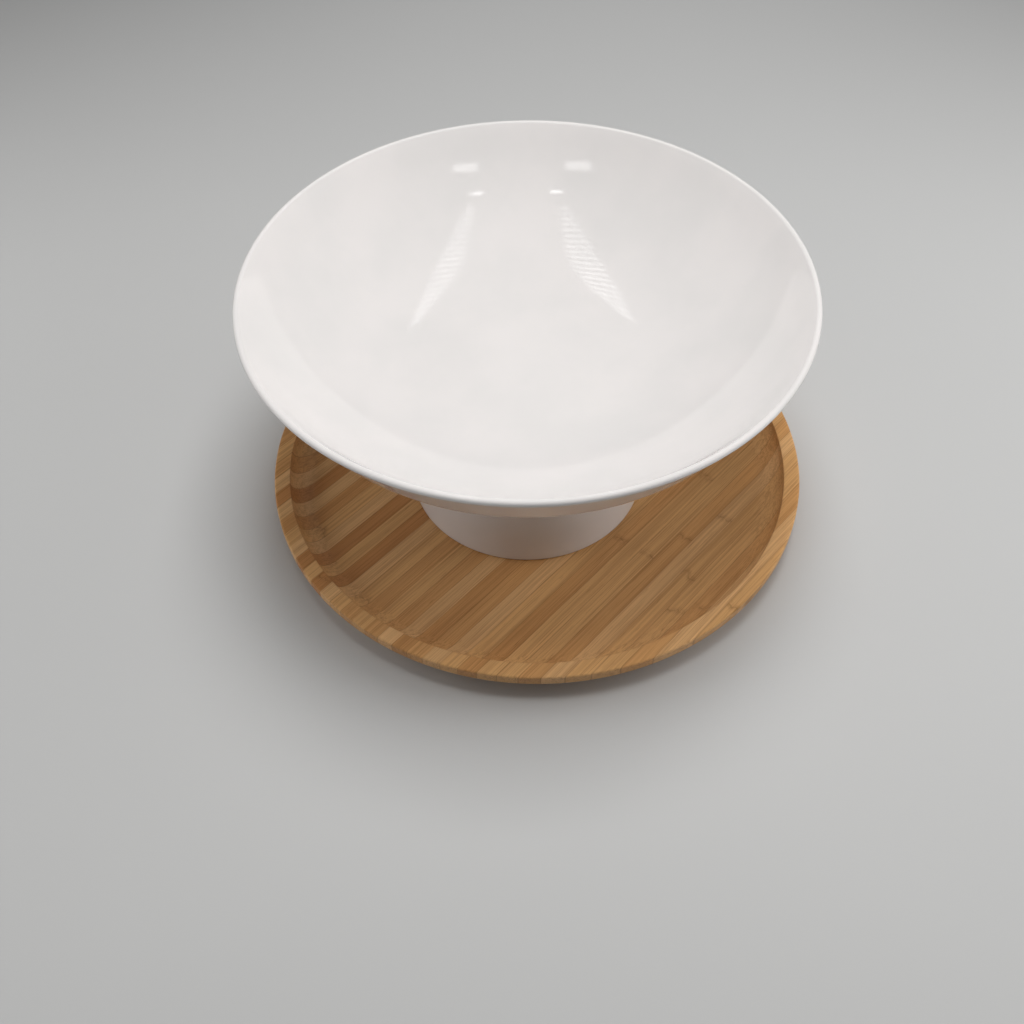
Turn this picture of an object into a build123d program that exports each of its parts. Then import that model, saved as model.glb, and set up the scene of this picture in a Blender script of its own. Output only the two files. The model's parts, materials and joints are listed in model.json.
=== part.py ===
"""Chip and dip server: a glazed pedestal bowl standing in a round laminated tray.

Millimetres, +Z up. The origin is the centre of the tray's underside, and the
tray's glued strips run along X. The bowl lifts straight up out of the tray.
"""
from build123d import *
from math import cos, radians, sin, tan
import os

# ---- tray -------------------------------------------------------------------
TRAY_R = 140.0            # outer radius at the top edge
TRAY_H = 20.0             # underside to rim top
BASE_R = 126.0            # flat underside it rests on
SIDE_H = 5.5              # upright part of the side, below the rim top
RIM_W = 8.3               # flat rim ring
WELL_DEPTH = 12.6         # rim top down to the tray floor, also the cove radius
FLOOR_Z = TRAY_H - WELL_DEPTH
EDGE_BREAK = 0.8          # sanded edges of the side

STRIP_W = 8.04            # width of one glued strip
STRIP_EDGE_Y = 2.5        # one glue line, which sets all the others
FIRST_LINE = -17          # glue lines are counted from that one
LAST_LINE = 16

# ---- bowl -------------------------------------------------------------------
BOWL_X = -4.6             # where the bowl's axis stands on the tray
BOWL_Y = 2.4
RIM_TOP_Z = 138.6         # top of the lip
LIP_ROUND = 1.6           # the lip is a full round of this radius
LIP_R = 131.0             # radius of the lip's centre line
BOWL_DEPTH = 52.9         # top of the lip down to the inside floor
BASE_T = 5.6              # thickness of the bowl's own floor
INNER_ANGLE = 57.0        # slope of the inside wall below the lip
OUTER_ANGLE = 59.0        # slope of the outside wall below the lip
INNER_CURVE_R = 98.0      # curve from the inside wall into the inside floor
OUTER_CURVE_R = 74.0      # curve from the outside wall to the underside

FOOT_R = 61.7             # pedestal, outside, where it stands
FOOT_TOP_R = 59.0         # pedestal, outside, under the bowl
FOOT_WALL = 5.0
FOOT_BLEND = 9.0          # pedestal into the underside, outside
FOOT_BLEND_IN = 5.0       # pedestal into the underside, inside
FOOT_EDGE = 1.3           # rounding of the ring it stands on


def on_lip(angle):
    """Point of the lip's round at an angle above the outward direction."""
    a = radians(angle)
    return (LIP_R + LIP_ROUND * cos(a), RIM_TOP_Z - LIP_ROUND + LIP_ROUND * sin(a))


def flat_radius(start, slope, curve_r, floor_z):
    """Radius where a wall's curve meets the flat it runs down to."""
    a = radians(slope)
    drop = start[1] - floor_z - curve_r * (1 - cos(a))
    return start[0] - drop / tan(a) - curve_r * sin(a)


os.makedirs("parts", exist_ok=True)

# ---- the turned tray blank, all strips together -----------------------------
with BuildPart() as blank:
    with BuildSketch(Plane.XZ):
        with BuildLine():
            Polyline(
                (0, FLOOR_Z),
                (0, 0),
                (BASE_R, 0),
                (TRAY_R, TRAY_H - SIDE_H),
                (TRAY_R, TRAY_H),
                (TRAY_R - RIM_W, TRAY_H),
            )
            CenterArc(
                (TRAY_R - RIM_W - WELL_DEPTH, TRAY_H), WELL_DEPTH, start_angle=0, arc_size=-90
            )
            Line((TRAY_R - RIM_W - WELL_DEPTH, FLOOR_Z), (0, FLOOR_Z))
        make_face()
    revolve(axis=Axis.Z)
    outer_edges = blank.edges().filter_by(GeomType.CIRCLE).sort_by(SortBy.RADIUS)[-2:]
    chamfer(outer_edges, length=EDGE_BREAK)

# ---- the strips it is glued up from -----------------------------------------
glue_lines = [STRIP_EDGE_Y + STRIP_W * n for n in range(FIRST_LINE, LAST_LINE + 1)]
strip_edges = [-TRAY_R - STRIP_W] + glue_lines + [TRAY_R + STRIP_W]

for number, (y_low, y_high) in enumerate(zip(strip_edges, strip_edges[1:]), start=1):
    with BuildPart() as bamboo_strip:
        add(blank.part)
        with Locations((0, (y_low + y_high) / 2, TRAY_H / 2)):
            Box(2 * TRAY_R, y_high - y_low, TRAY_H, mode=Mode.INTERSECT)
    bamboo_strip.part.label = f"bamboo_strip_{number:02d}"
    export_step(bamboo_strip.part, f"parts/bamboo_strip_{number:02d}.step")

# ---- bowl: dish and hollow pedestal, one firing -----------------------------
INSIDE_Z = RIM_TOP_Z - BOWL_DEPTH
UNDERSIDE_Z = INSIDE_Z - BASE_T
inner_start = on_lip(90 + INNER_ANGLE)
outer_start = on_lip(OUTER_ANGLE - 90)
inner_flat_r = flat_radius(inner_start, INNER_ANGLE, INNER_CURVE_R, INSIDE_Z)
outer_flat_r = flat_radius(outer_start, OUTER_ANGLE, OUTER_CURVE_R, UNDERSIDE_Z)

with BuildPart() as bowl:
    with BuildSketch(Plane.XZ):
        with BuildLine():
            Line((0, INSIDE_Z), (inner_flat_r, INSIDE_Z))
            inner_curve = CenterArc(
                (inner_flat_r, INSIDE_Z + INNER_CURVE_R),
                INNER_CURVE_R,
                start_angle=270,
                arc_size=INNER_ANGLE,
            )
            Line(inner_curve @ 1, inner_start)
            CenterArc(
                (LIP_R, RIM_TOP_Z - LIP_ROUND),
                LIP_ROUND,
                start_angle=OUTER_ANGLE - 90,
                arc_size=180 + INNER_ANGLE - OUTER_ANGLE,
            )
            outer_curve = CenterArc(
                (outer_flat_r, UNDERSIDE_Z + OUTER_CURVE_R),
                OUTER_CURVE_R,
                start_angle=270,
                arc_size=OUTER_ANGLE,
            )
            Line(outer_curve @ 1, outer_start)
            Line((outer_flat_r, UNDERSIDE_Z), (0, UNDERSIDE_Z))
            Line((0, UNDERSIDE_Z), (0, INSIDE_Z))
        make_face()
        with BuildLine():
            Polyline(
                (FOOT_R - FOOT_WALL, FLOOR_Z),
                (FOOT_R, FLOOR_Z),
                (FOOT_TOP_R, UNDERSIDE_Z + BASE_T / 2),
                (FOOT_TOP_R - FOOT_WALL, UNDERSIDE_Z + BASE_T / 2),
                close=True,
            )
        make_face()
        # the pedestal meets the underside in two corners, inside and outside
        for radius, outward in ((FOOT_BLEND, -1), (FOOT_BLEND_IN, 0)):
            corners = vertices().filter_by_position(Axis.Y, UNDERSIDE_Z - 0.1, INSIDE_Z - 0.1)
            corners = corners.filter_by_position(Axis.X, FOOT_TOP_R - FOOT_WALL, FOOT_R)
            fillet(corners.sort_by(Axis.X)[outward], radius=radius)
        fillet(vertices().sort_by(Axis.Y)[:2], radius=FOOT_EDGE)
    revolve(axis=Axis.Z)

bowl_part = bowl.part.moved(Location((BOWL_X, BOWL_Y, 0)))
bowl_part.label = "bowl"
export_step(bowl_part, "parts/bowl.step")
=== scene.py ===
"""Looks for the chip and dip server: a glazed pedestal bowl in a turned bamboo tray.

Metres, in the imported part's frame: +Z up, the tray's glued strips run along X.
"""
import json
import math
import random

import bmesh
import bpy
from mathutils import Matrix, Vector


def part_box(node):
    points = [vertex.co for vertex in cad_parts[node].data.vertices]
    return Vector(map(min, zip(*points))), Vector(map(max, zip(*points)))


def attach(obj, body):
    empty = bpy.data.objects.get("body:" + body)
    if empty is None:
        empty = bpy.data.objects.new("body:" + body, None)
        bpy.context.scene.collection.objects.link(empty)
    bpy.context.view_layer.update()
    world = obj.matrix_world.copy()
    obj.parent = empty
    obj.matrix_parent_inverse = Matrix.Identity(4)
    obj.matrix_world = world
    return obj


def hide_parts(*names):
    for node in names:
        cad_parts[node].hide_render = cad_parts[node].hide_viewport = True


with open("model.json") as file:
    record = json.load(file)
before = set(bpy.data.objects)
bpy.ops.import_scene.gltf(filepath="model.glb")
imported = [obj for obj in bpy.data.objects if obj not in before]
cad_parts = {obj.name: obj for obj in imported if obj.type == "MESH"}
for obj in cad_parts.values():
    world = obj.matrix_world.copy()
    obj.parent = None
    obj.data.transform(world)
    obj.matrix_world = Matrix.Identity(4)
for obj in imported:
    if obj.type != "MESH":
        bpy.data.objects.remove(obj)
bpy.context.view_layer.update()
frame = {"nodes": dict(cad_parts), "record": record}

MM = 0.001

# ---- what the CAD says ---------------------------------------------------------
STRIPS = sorted(name for name in frame["nodes"] if name.startswith("bamboo_strip_"))
strip_boxes = {name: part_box(name) for name in STRIPS}
TRAY_R = max(hi.x for lo, hi in strip_boxes.values())
TRAY_TOP = max(hi.z for lo, hi in strip_boxes.values())
bowl_lo, bowl_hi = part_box("bowl")
BOWL_AXIS = Vector(((bowl_lo.x + bowl_hi.x) / 2, (bowl_lo.y + bowl_hi.y) / 2))
BOWL_R = (bowl_hi.x - bowl_lo.x) / 2
RIM_TOP = bowl_hi.z
TRAY_FLOOR = bowl_lo.z

# ---- the turned shapes, as in the CAD, with their small roundings ---------------
COVE_R = TRAY_TOP - TRAY_FLOOR
COVE_END_ANGLE = -2.4               # stops short of upright, for the edge's rounding
RIM_RING = 8.3 * MM
RIM_INNER_ROUND = 0.45 * MM
RIM_OUTER_ROUND = 1.1 * MM
SIDE_H = 5.5 * MM
SIDE_ROUND = 1.0 * MM
BASE_R = 126 * MM
BASE_ROUND = 2.0 * MM

LIP_ROUND = 1.6 * MM
BOWL_DEPTH = 52.9 * MM
BASE_T = 5.6 * MM
INNER_ANGLE = 57
OUTER_ANGLE = 59
INNER_CURVE_R = 98 * MM
OUTER_CURVE_R = 74 * MM
FOOT_R = 61.7 * MM
FOOT_TOP_R = 59.0 * MM
FOOT_WALL = 5.0 * MM
FOOT_BLEND = 9.0 * MM
FOOT_BLEND_IN = 5.0 * MM
FOOT_EDGE = 1.3 * MM

# rings of vertices on the flats: millimetres on the tray, parts of the radius on the bowl
TRAY_FLOOR_RINGS = (0, 15, 30, 45, 60, 75, 90, 100, 108, 114, 117.5)
TRAY_BASE_RINGS = (123, 118, 108, 95, 80, 65, 50, 35, 18, 0)
BOWL_FLOOR_RINGS = (0, 0.15, 0.3, 0.45, 0.6, 0.75, 0.88, 0.96)
BOWL_UNDER_RINGS = (0.85, 0.65, 0.45, 0.3, 0.15, 0)

TRAY_SEGMENTS = 384
BOWL_SEGMENTS = 288
TRAY_SHARP_ANGLE = 32
BOWL_SHARP_ANGLE = 60

SAME_POINT = 1e-6
TINY = 1e-7


def arc(cx, cz, r, start, end, steps):
    """Points of an arc in the (radius, height) plane; angles in degrees."""
    out = []
    for i in range(steps + 1):
        a = math.radians(start + (end - start) * i / steps)
        out.append((cx + r * math.cos(a), cz + r * math.sin(a)))
    return out


def run(a, b, steps):
    """Points between two points, without the ends."""
    return [
        (a[0] + (b[0] - a[0]) * i / steps, a[1] + (b[1] - a[1]) * i / steps)
        for i in range(1, steps)
    ]


def between(start, middle, end, t):
    """A point on the quadratic curve from start to end that is pulled towards middle."""
    return start * (1 - t) ** 2 + middle * 2 * t * (1 - t) + end * t ** 2


def rounded(a, corner, b, reach, steps=6):
    """A corner between two straight runs, softened over a reach along each."""
    c = Vector(corner)
    p = c + (Vector(a) - c).normalized() * reach
    q = c + (Vector(b) - c).normalized() * reach
    return [tuple(between(p, c, q, i / steps)) for i in range(steps + 1)]


def joined(*parts):
    """One profile out of several lists of points, without doubles."""
    out = []
    for part in parts:
        for p in part:
            if not out or math.dist(out[-1], p) > SAME_POINT:
                out.append(p)
    return out


def tray_profile():
    cove_x = TRAY_R - RIM_RING - COVE_R
    inner_edge = (TRAY_R - RIM_RING, TRAY_TOP)
    outer_edge = (TRAY_R, TRAY_TOP)
    side_foot = (TRAY_R, TRAY_TOP - SIDE_H)
    base_edge = (BASE_R, 0.0)
    floor = [(r * MM, TRAY_FLOOR) for r in TRAY_FLOOR_RINGS]
    cove = arc(cove_x, TRAY_TOP, COVE_R, -90, COVE_END_ANGLE, steps=26)
    inner_round = rounded(cove[-1], inner_edge, outer_edge, RIM_INNER_ROUND, steps=4)
    outer_round = rounded(inner_edge, outer_edge, side_foot, RIM_OUTER_ROUND)
    side_round = rounded(outer_edge, side_foot, base_edge, SIDE_ROUND)
    base_round = rounded(side_foot, base_edge, (0, 0), BASE_ROUND)
    base = [(r * MM, 0.0) for r in TRAY_BASE_RINGS]
    return joined(
        floor,
        cove,
        inner_round,
        run(inner_round[-1], outer_round[0], steps=6),
        outer_round,
        run(outer_round[-1], side_round[0], steps=3),
        side_round,
        run(side_round[-1], base_round[0], steps=6),
        base_round,
        base,
    )


def lip_point(angle):
    """A point on the lip's round, by its angle above level."""
    a = math.radians(angle)
    return (
        BOWL_R - LIP_ROUND + LIP_ROUND * math.cos(a),
        RIM_TOP - LIP_ROUND + LIP_ROUND * math.sin(a),
    )


def flat_radius(start, slope, curve_r, floor_z):
    """Radius where a wall's curve meets the flat it runs down to."""
    a = math.radians(slope)
    drop = start[1] - floor_z - curve_r * (1 - math.cos(a))
    return start[0] - drop / math.tan(a) - curve_r * math.sin(a)


def foot_line(wall):
    """The pedestal's wall as radius = a + b * height, for its outside or inside."""
    top_z = RIM_TOP - BOWL_DEPTH - BASE_T / 2
    b = (FOOT_TOP_R - FOOT_R) / (top_z - TRAY_FLOOR)
    return FOOT_R - wall - b * TRAY_FLOOR, b


def blend_outside(big_x, big_z):
    """Centre of the round between the pedestal's outside and the dish's underside curve."""
    a, b = foot_line(0)
    offset = a + FOOT_BLEND * math.sqrt(1 + b * b) - big_x
    reach = OUTER_CURVE_R + FOOT_BLEND
    qa = 1 + b * b
    qb = 2 * (offset * b - big_z)
    qc = offset ** 2 + big_z ** 2 - reach ** 2
    z = (-qb - math.sqrt(qb * qb - 4 * qa * qc)) / (2 * qa)
    return offset + big_x + b * z, z


def blend_inside(under_z):
    """Centre of the round between the pedestal's inside and the flat underside."""
    a, b = foot_line(FOOT_WALL)
    z = under_z - FOOT_BLEND_IN
    return a + b * z - FOOT_BLEND_IN * math.sqrt(1 + b * b), z


def bowl_profile():
    inside_z = RIM_TOP - BOWL_DEPTH
    under_z = inside_z - BASE_T
    inner_start = lip_point(90 + INNER_ANGLE)
    outer_start = lip_point(OUTER_ANGLE - 90)
    inner_x = flat_radius(inner_start, INNER_ANGLE, INNER_CURVE_R, inside_z)
    outer_x = flat_radius(outer_start, OUTER_ANGLE, OUTER_CURVE_R, under_z)
    outer_z = under_z + OUTER_CURVE_R
    floor = [(inner_x * t, inside_z) for t in BOWL_FLOOR_RINGS]
    inner = arc(inner_x, inside_z + INNER_CURVE_R, INNER_CURVE_R, 270, 270 + INNER_ANGLE,
                steps=56)
    lip = arc(BOWL_R - LIP_ROUND, RIM_TOP - LIP_ROUND, LIP_ROUND, 90 + INNER_ANGLE,
              OUTER_ANGLE - 90, steps=28)

    out_x, out_z = blend_outside(outer_x, outer_z)
    in_x, in_z = blend_inside(under_z)
    to_curve = math.degrees(math.atan2(outer_z - out_z, outer_x - out_x))
    lean = math.degrees(math.atan(foot_line(0)[1]))
    outer = arc(outer_x, outer_z, OUTER_CURVE_R, 270 + OUTER_ANGLE, to_curve + 180, steps=48)
    blend_out = arc(out_x, out_z, FOOT_BLEND, to_curve, 180 - lean, steps=12)
    blend_in = arc(in_x, in_z, FOOT_BLEND_IN, -lean, 90, steps=10)

    foot_out = (FOOT_R, TRAY_FLOOR)
    foot_in = (FOOT_R - FOOT_WALL, TRAY_FLOOR)
    round_out = rounded(blend_out[-1], foot_out, foot_in, FOOT_EDGE)
    round_in = rounded(foot_out, foot_in, blend_in[0], FOOT_EDGE)
    under = [(in_x * t, under_z) for t in BOWL_UNDER_RINGS]
    return joined(
        floor,
        inner,
        run(inner[-1], lip[0], steps=4),
        lip,
        run(lip[-1], outer[0], steps=4),
        outer,
        blend_out,
        run(blend_out[-1], round_out[0], steps=16),
        round_out,
        run(round_out[-1], round_in[0], steps=2),
        round_in,
        run(round_in[-1], blend_in[0], steps=16),
        blend_in,
        under,
    )


def lathe(profile, segments, axis=(0, 0)):
    """A closed turned solid as a bmesh. The profile starts and ends on the axis."""
    bm = bmesh.new()
    rings = []
    for r, z in profile:
        if r < TINY:
            rings.append([bm.verts.new((axis[0], axis[1], z))])
            continue
        ring = []
        for i in range(segments):
            a = 2 * math.pi * i / segments
            ring.append(bm.verts.new((axis[0] + r * math.cos(a), axis[1] + r * math.sin(a), z)))
        rings.append(ring)
    for low, high in zip(rings, rings[1:]):
        for i in range(segments):
            j = (i + 1) % segments
            if len(low) == 1:
                bm.faces.new((low[0], high[i], high[j]))
            elif len(high) == 1:
                bm.faces.new((low[i], high[0], low[j]))
            else:
                bm.faces.new((low[i], high[i], high[j], low[j]))
    bmesh.ops.recalc_face_normals(bm, faces=bm.faces)
    return bm


def to_object(bm, name, sharp_angle):
    """A smooth-shaded object out of a bmesh, with hard edges above an angle in degrees."""
    mesh = bpy.data.meshes.new(name)
    bm.to_mesh(mesh)
    bm.free()
    mesh.shade_smooth()
    mesh.set_sharp_from_angle(angle=math.radians(sharp_angle))
    obj = bpy.data.objects.new(name, mesh)
    bpy.context.collection.objects.link(obj)
    return obj


def slab(blank, y_low, y_high):
    """The part of a bmesh between two planes across Y, closed with flat cut faces."""
    bm = blank.copy()
    for y, normal in ((y_low, -1), (y_high, 1)):
        geom = bm.verts[:] + bm.edges[:] + bm.faces[:]
        cut = bmesh.ops.bisect_plane(
            bm, geom=geom, dist=TINY, plane_co=(0, y, 0), plane_no=(0, normal, 0),
            clear_outer=True,
        )
        edges = [e for e in cut["geom_cut"] if isinstance(e, bmesh.types.BMEdge)]
        if edges:
            bmesh.ops.edgenet_fill(bm, edges=edges)
    bmesh.ops.recalc_face_normals(bm, faces=bm.faces)
    return bm


# ---- material helpers -----------------------------------------------------------
class Nodes:
    """Short calls for building one material's node tree."""

    def __init__(self, name):
        self.material = bpy.data.materials.new(name)
        self.material.use_nodes = True
        self.tree = self.material.node_tree
        self.shader = self.tree.nodes["Principled BSDF"]
        self.coord = self.tree.nodes.new("ShaderNodeTexCoord").outputs["Object"]

    def feed(self, socket, value):
        if isinstance(value, bpy.types.NodeSocket):
            self.tree.links.new(value, socket)
        else:
            socket.default_value = value

    def math(self, kind, a, b=0.0):
        node = self.tree.nodes.new("ShaderNodeMath")
        node.operation = kind
        self.feed(node.inputs[0], a)
        self.feed(node.inputs[1], b)
        return node.outputs[0]

    def scaled(self, scale, offset=(0, 0, 0)):
        node = self.tree.nodes.new("ShaderNodeMapping")
        self.feed(node.inputs["Vector"], self.coord)
        node.inputs["Scale"].default_value = scale
        node.inputs["Location"].default_value = offset
        return node.outputs[0]

    def noise(self, vector, detail, rough=0.5):
        node = self.tree.nodes.new("ShaderNodeTexNoise")
        self.feed(node.inputs["Vector"], vector)
        node.inputs["Scale"].default_value = 1.0
        node.inputs["Detail"].default_value = detail
        node.inputs["Roughness"].default_value = rough
        return node.outputs["Fac"]

    def ramp(self, value, low, high, out_low=0.0, out_high=1.0, smooth=True):
        node = self.tree.nodes.new("ShaderNodeMapRange")
        node.interpolation_type = "SMOOTHSTEP" if smooth else "LINEAR"
        self.feed(node.inputs["Value"], value)
        node.inputs["From Min"].default_value = low
        node.inputs["From Max"].default_value = high
        node.inputs["To Min"].default_value = out_low
        node.inputs["To Max"].default_value = out_high
        return node.outputs["Result"]

    def mix(self, factor, a, b):
        node = self.tree.nodes.new("ShaderNodeMix")
        node.data_type = "RGBA"
        self.feed(node.inputs["Factor"], factor)
        self.feed(node.inputs[6], a)
        self.feed(node.inputs[7], b)
        return node.outputs[2]

    def axes(self):
        node = self.tree.nodes.new("ShaderNodeSeparateXYZ")
        self.feed(node.inputs[0], self.coord)
        return node.outputs

    def bump(self, height, strength, distance, below=None):
        node = self.tree.nodes.new("ShaderNodeBump")
        self.feed(node.inputs["Height"], height)
        node.inputs["Strength"].default_value = strength
        node.inputs["Distance"].default_value = distance
        if below is not None:
            self.feed(node.inputs["Normal"], below)
        return node.outputs["Normal"]


def srgb(r, g, b):
    """A colour given as 0-255 display values, in the shader's linear numbers."""
    def one(c):
        c /= 255
        return c / 12.92 if c <= 0.04045 else ((c + 0.055) / 1.055) ** 2.4
    return (one(r), one(g), one(b), 1.0)


def tinted(color, red, green, blue):
    """A colour with each channel scaled, up to full brightness."""
    return tuple(min(1.0, c * k) for c, k in zip(color, (red, green, blue))) + (1.0,)


# ---- bamboo -----------------------------------------------------------------------
TONES = {
    "bamboo_pale": srgb(216, 170, 118),
    "bamboo_honey": srgb(210, 162, 107),
    "bamboo_tan": srgb(203, 152, 97),
    "bamboo_brown": srgb(195, 143, 89),
    "bamboo_dark": srgb(186, 131, 79),
}
slot_of = {row["node"]: row["material_slot"] for row in frame["record"]["subparts"]}

# grain, in noise cells per metre: few along the strip, many across it
CLOUD_GRAIN = (9, 60, 60)
VEIN_GRAIN = (5, 620, 620)
FIBRE_GRAIN = (22, 1700, 1700)
HAIR_GRAIN = (60, 4200, 4200)
DASH_GRAIN = (110, 2300, 2300)
KNUCKLE_GRAIN = (420, 520, 520)
KNUCKLE_WANDER_GRAIN = (0, 260, 260)
GLUE_GRAIN = (60, 0, 0)
GRAIN_SHIFT = 40                    # each strip reads its grain from its own place

BROWN_FADE = 0.6                    # how far a brown strip goes over to the common tone
FADE_START, FADE_END = -80 * MM, -10 * MM
KNUCKLE_WANDER = 2.2 * MM
KNUCKLE_CORE, KNUCKLE_REACH = 0.4 * MM, 3.6 * MM
KNUCKLE_STAIN = 0.36
SEAM_CORE, SEAM_REACH = 0.1 * MM, 0.6 * MM
SEAM_STAIN = 0.38
GLUE_CORE, GLUE_REACH = 0.05 * MM, 0.32 * MM
GLUE_STAIN = 0.7
FIBRE_BUMP = 0.10 * MM
HAIR_BUMP = 0.05 * MM
GLUE_GROOVE = -0.08 * MM
OILED_WOOD_IOR = 1.48


def bamboo(name, tone, fade, y_low, y_high, knuckle_x, rng):
    """One strip's wood, with glue lines at y_low and y_high and its knuckle at knuckle_x."""
    n = Nodes(name)
    x, y, _ = n.axes()
    shift = tuple(rng.uniform(-GRAIN_SHIFT, GRAIN_SHIFT) for _ in range(3))

    # bundles of fibres, packed more densely towards one side
    cloud = n.noise(n.scaled(CLOUD_GRAIN, shift), detail=2, rough=0.55)
    vein = n.noise(n.scaled(VEIN_GRAIN, shift), detail=3, rough=0.6)
    fibre = n.noise(n.scaled(FIBRE_GRAIN, shift), detail=3, rough=0.65)
    hair = n.noise(n.scaled(HAIR_GRAIN, shift), detail=2)
    dash = n.noise(n.scaled(DASH_GRAIN, shift), detail=1)
    side = rng.choice((-1, 1))
    across = n.ramp(y, y_low, y_high, 0.5 - side * 0.5, 0.5 + side * 0.5, smooth=False)

    light = tinted(tone, 1.20, 1.20, 1.20)
    deep = tinted(tone, 0.64, 0.57, 0.50)
    dark = tinted(tone, 0.40, 0.33, 0.26)
    # the brown strips run out to the common tone towards +X
    faded = n.ramp(x, FADE_START, FADE_END, out_high=fade)
    col = n.mix(faded, tone, TONES["bamboo_honey"])
    col = n.mix(n.ramp(cloud, 0.3, 0.72, out_high=0.6), col, light)
    col = n.mix(n.ramp(vein, 0.42, 0.72, out_high=0.55), col, deep)
    packed = n.ramp(across, 0, 1, out_low=0.35, out_high=0.85, smooth=False)
    col = n.mix(n.math("MULTIPLY", n.ramp(fibre, 0.46, 0.68), packed), col, deep)
    col = n.mix(n.ramp(hair, 0.56, 0.74, out_high=0.45), col, deep)
    col = n.mix(n.ramp(dash, 0.69, 0.80, out_high=0.55), col, dark)

    # the knuckle: a stained band and a thin seam where the culm had its joint
    wander = n.noise(n.scaled(KNUCKLE_WANDER_GRAIN, shift), detail=2)
    offset = n.ramp(wander, 0.3, 0.7, -KNUCKLE_WANDER - knuckle_x, KNUCKLE_WANDER - knuckle_x,
                    smooth=False)
    away = n.math("ABSOLUTE", n.math("ADD", x, offset))
    grain = n.noise(n.scaled(KNUCKLE_GRAIN, shift), detail=3, rough=0.6)
    band = n.math("MULTIPLY", n.ramp(away, KNUCKLE_CORE, KNUCKLE_REACH, 1.0, 0.0),
                  n.ramp(grain, 0.30, 0.70, out_low=0.1))
    col = n.mix(n.math("MULTIPLY", band, KNUCKLE_STAIN), col, dark)
    seam = n.math("MULTIPLY", n.ramp(away, SEAM_CORE, SEAM_REACH, 1.0, 0.0),
                  n.ramp(grain, 0.3, 0.6))
    col = n.mix(n.math("MULTIPLY", seam, SEAM_STAIN), col, dark)

    # glue lines at both long edges
    edge = n.math("MINIMUM", n.math("SUBTRACT", y, y_low), n.math("SUBTRACT", y_high, y))
    broken = n.noise(n.scaled(GLUE_GRAIN, shift), detail=2)
    glue = n.math("MULTIPLY", n.ramp(edge, GLUE_CORE, GLUE_REACH, 1.0, 0.0),
                  n.ramp(broken, 0.35, 0.62, out_low=0.25, out_high=0.85))
    col = n.mix(n.math("MULTIPLY", glue, GLUE_STAIN), col, dark)

    n.feed(n.shader.inputs["Base Color"], col)
    rough = n.ramp(fibre, 0.3, 0.75, out_low=0.44, out_high=0.60, smooth=False)
    n.feed(n.shader.inputs["Roughness"], rough)
    n.shader.inputs["IOR"].default_value = OILED_WOOD_IOR
    coarse = n.bump(fibre, 0.22, FIBRE_BUMP)
    fine = n.bump(hair, 0.18, HAIR_BUMP, coarse)
    n.feed(n.shader.inputs["Normal"], n.bump(glue, 0.35, GLUE_GROOVE, fine))
    return n.material


# where a strip's knuckle is, in millimetres along X; the other strips' are random
KNUCKLES = {10: -8, 8: -6, 7: 15, 6: 38, 5: -4, 4: -25}
KNUCKLE_SPREAD = 135

blank = lathe(tray_profile(), TRAY_SEGMENTS)
rng = random.Random(11)
for index, node in enumerate(STRIPS, start=1):
    lo, hi = strip_boxes[node]
    strip = to_object(slab(blank, lo.y, hi.y), f"turned_{node}", TRAY_SHARP_ANGLE)
    knuckle = KNUCKLES.get(index, rng.uniform(-KNUCKLE_SPREAD, KNUCKLE_SPREAD))
    slot = slot_of[node]
    fade = BROWN_FADE if slot in ("bamboo_brown", "bamboo_dark") else 0.0
    look = bamboo(f"look_{node}", TONES[slot], fade, lo.y, hi.y, knuckle * MM, rng)
    strip.data.materials.append(look)
    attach(strip, "tray")
    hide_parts(node)
blank.free()


# ---- glazed bowl ------------------------------------------------------------------
BARE_TOP, GLAZE_START = TRAY_FLOOR + 0.5 * MM, TRAY_FLOOR + 0.85 * MM
GLAZE_WANDER = 0.25 * MM
GLAZE_IOR = 1.52
CLAY_ROUGHNESS = 0.85
WAVE_BUMP = 0.35 * MM
PEEL_BUMP = 0.03 * MM


def glaze():
    """White glaze, with a ring of bare clay where the foot stands."""
    n = Nodes("white_glaze_look")
    z = n.axes()["Z"]
    edge = n.noise(n.scaled((160, 160, 0)), detail=2)
    uneven = n.ramp(edge, 0.3, 0.7, -GLAZE_WANDER, GLAZE_WANDER, smooth=False)
    bare = n.ramp(n.math("ADD", z, uneven), BARE_TOP, GLAZE_START, 1.0, 0.0)
    cloud = n.noise(n.scaled((22, 22, 22)), detail=3, rough=0.55)
    white = n.mix(n.ramp(cloud, 0.3, 0.7), srgb(227, 223, 221), srgb(222, 219, 217))
    grit = n.noise(n.scaled((2600, 2600, 2600)), detail=2)
    clay = n.mix(n.ramp(grit, 0.4, 0.65), srgb(222, 214, 200), srgb(196, 186, 170))
    n.feed(n.shader.inputs["Base Color"], n.mix(bare, white, clay))
    gloss = n.ramp(cloud, 0.3, 0.7, out_low=0.055, out_high=0.085)
    matt = n.math("MULTIPLY", bare, CLAY_ROUGHNESS)
    n.feed(n.shader.inputs["Roughness"], n.math("MAXIMUM", gloss, matt))
    n.shader.inputs["IOR"].default_value = GLAZE_IOR
    wave = n.noise(n.scaled((38, 38, 38)), detail=1)
    peel = n.noise(n.scaled((420, 420, 420)), detail=1)
    pooled = n.bump(wave, 0.25, WAVE_BUMP)
    n.feed(n.shader.inputs["Normal"], n.bump(peel, 0.10, PEEL_BUMP, pooled))
    return n.material


turned_bowl = lathe(bowl_profile(), BOWL_SEGMENTS, BOWL_AXIS)
bowl = to_object(turned_bowl, "glazed_bowl", BOWL_SHARP_ANGLE)
bowl.data.materials.append(glaze())
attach(bowl, "bowl")
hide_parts("bowl")


# ---- floor ------------------------------------------------------------------------
FLOOR_HALF = 6
FLOOR_ROUGHNESS = 0.7


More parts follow.
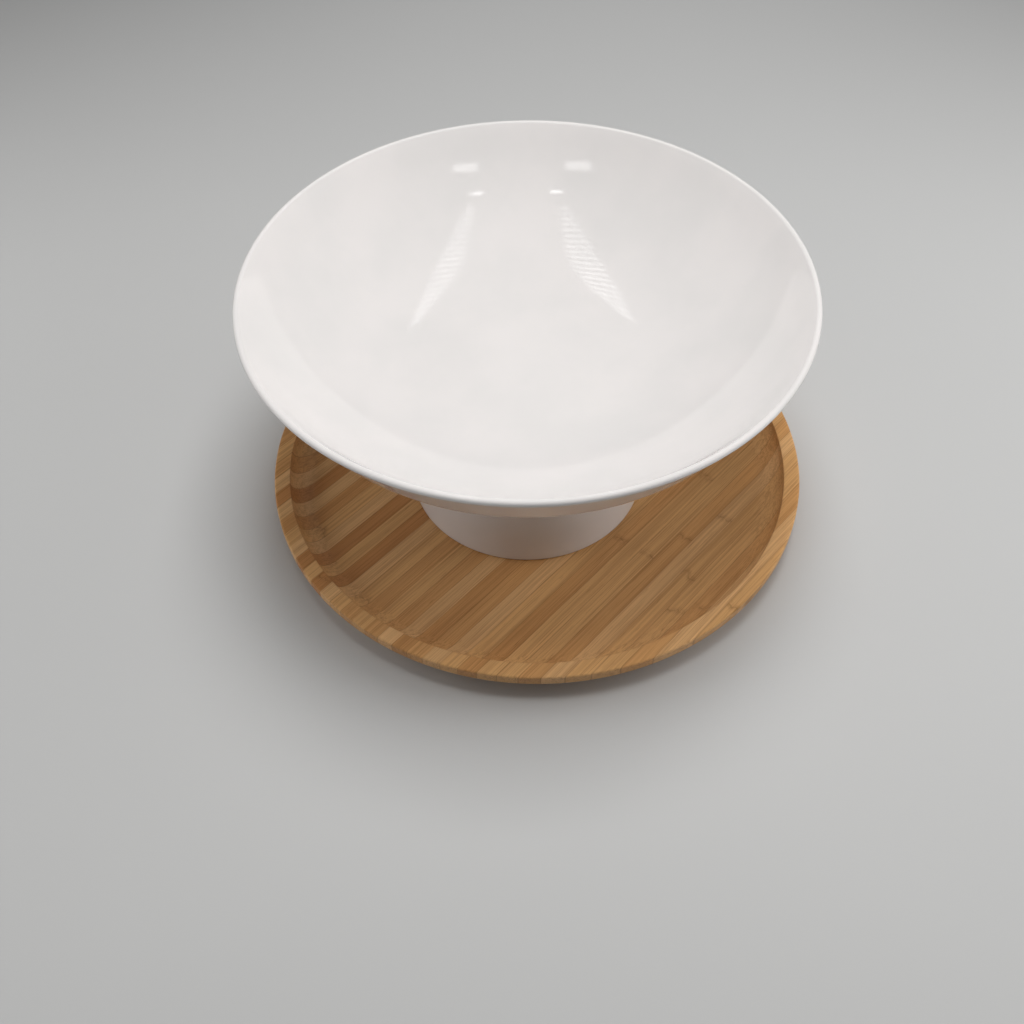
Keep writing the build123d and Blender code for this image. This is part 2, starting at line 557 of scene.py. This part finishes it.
def plain(name, color, rough):
    """A matt surface with faint clouds in its colour."""
    n = Nodes(name)
    cloud = n.noise(n.scaled((3, 3, 3)), detail=3)
    n.feed(n.shader.inputs["Base Color"], n.mix(cloud, color, tinted(color, 0.97, 0.97, 0.97)))
    n.shader.inputs["Roughness"].default_value = rough
    return n.material


floor_mesh = bpy.data.meshes.new("floor")
bm = bmesh.new()
bmesh.ops.create_grid(bm, x_segments=2, y_segments=2, size=FLOOR_HALF)
bm.to_mesh(floor_mesh)
bm.free()
floor = bpy.data.objects.new("floor", floor_mesh)
bpy.context.collection.objects.link(floor)
floor_mesh.materials.append(plain("floor_paper", srgb(194, 194, 193), FLOOR_ROUGHNESS))


# ---- light ------------------------------------------------------------------------
VIEW_TURN = math.radians(-47)       # the strips run 47 degrees off the camera's level axis
TURN = Matrix.Rotation(VIEW_TURN, 3, "Z")


def soft_light(name, place, aim, size_x, size_y, power):
    """An area light; place and aim are given with the camera looking along +Y."""
    data = bpy.data.lights.new(name, "AREA")
    data.shape = "RECTANGLE"
    data.size = size_x
    data.size_y = size_y
    data.energy = power
    obj = bpy.data.objects.new(name, data)
    bpy.context.collection.objects.link(obj)
    obj.location = TURN @ Vector(place)
    way = (Vector(aim) - Vector(place)).normalized()
    up = Vector((1, 0, 0)).cross(way).normalized()
    side = way.cross(up).normalized()
    local = Matrix((side, up, -way)).transposed()
    obj.rotation_euler = (TURN @ local).to_euler()
    return obj


# broad boxes light the object but leave no window shapes in the glaze
BOXES = {
    "top_box": dict(place=(0.06, 0.02, 0.95), aim=(0.04, 0.0, 0.1), size_x=0.38, size_y=0.58,
                    power=6.5),
    "left_box": dict(place=(-0.75, 0.0, 0.36), aim=(0, 0, 0.05), size_x=0.6, size_y=0.5,
                     power=2.2),
    "right_box": dict(place=(0.75, 0.0, 0.36), aim=(0, 0, 0.05), size_x=0.6, size_y=0.5,
                      power=3.1),
    "back_box": dict(place=(0.1, 0.75, 0.42), aim=(0, 0, 0.1), size_x=0.6, size_y=0.4,
                     power=0.7),
    "front_box": dict(place=(0.0, -0.62, 0.68), aim=(0, 0, 0.03), size_x=0.5, size_y=0.25,
                      power=0.42),
}
for name, settings in BOXES.items():
    soft_light(name, **settings).visible_glossy = False

# small lamps show only as reflections in the glaze
LAMP_H = 0.58
LAMPS_IN_ROW = 20
LAMP_LENGTH = 0.4                   # of the spacing
LAMP_WIDTH_ENDS = 0.018
LAMP_WIDTH_EXTRA = 0.026            # wider by this much half way along a row
LAMP_WATTS_PER_WIDTH = 0.125
LAMP_AIM = Vector((0, -0.1, -0.5))
ROWS = {
    "lamp_left": ((0.117, -0.080), (0.100, 0.180), (0.060, 0.420)),
    "lamp_right": ((-0.087, -0.074), (-0.082, 0.190), (-0.032, 0.420)),
}
for row_name, spots in ROWS.items():
    start, middle, end = (Vector((x, y, LAMP_H)) for x, y in spots)
    spacing = (end - start).length / LAMPS_IN_ROW
    for i in range(LAMPS_IN_ROW):
        t = (i + 0.5) / LAMPS_IN_ROW
        place = between(start, middle, end, t)
        width = LAMP_WIDTH_ENDS + LAMP_WIDTH_EXTRA * 4 * t * (1 - t)
        lamp = soft_light(f"{row_name}_{i:02d}", place, place + LAMP_AIM, width,
                          spacing * LAMP_LENGTH, LAMP_WATTS_PER_WIDTH * width)
        lamp.visible_diffuse = False
for side in (-1, 1):
    dash = soft_light("lamp_end", place=(0.016 + 0.100 * side, -0.142, LAMP_H), aim=(0, 0, 0.1),
                      size_x=0.030, size_y=0.012, power=0.011)
    pane = soft_light("far_pane", place=(0.158 * side, -0.243, 0.51), aim=(0, 0.1, 0.1),
                      size_x=0.075, size_y=0.040, power=0.036)
    dash.visible_diffuse = False
    pane.visible_diffuse = False

SKY_STRENGTH = 0.035
world = bpy.data.worlds.new("soft_room")
bpy.context.scene.world = world
world.use_nodes = True
sky = world.node_tree.nodes["Background"]
sky.inputs["Color"].default_value = (1.0, 1.0, 1.0, 1.0)
sky.inputs["Strength"].default_value = SKY_STRENGTH


# ---- camera -----------------------------------------------------------------------
CAMERA_AT = Vector((-0.01357, -0.39957, 0.43946 + TRAY_TOP))
PITCH_DOWN = math.radians(50.81)
ROLL = math.radians(-1.22)
LENS = 38.68
SENSOR = 36
CLIP_START = 0.01

camera = bpy.data.objects.new("camera", bpy.data.cameras.new("camera"))
bpy.context.collection.objects.link(camera)
camera.data.sensor_width = SENSOR
camera.data.lens = LENS
camera.data.clip_start = CLIP_START
forward = Vector((0, math.cos(PITCH_DOWN), -math.sin(PITCH_DOWN)))
level = Vector((1, 0, 0))
up = level.cross(forward)
right = level * math.cos(ROLL) + up * math.sin(ROLL)
up = up * math.cos(ROLL) - level * math.sin(ROLL)
facing = TURN @ Matrix((right, up, -forward)).transposed()
camera.matrix_world = Matrix.Translation(TURN @ CAMERA_AT) @ facing.to_4x4()
bpy.context.scene.camera = camera
bpy.context.scene.view_settings.view_transform = "Standard"
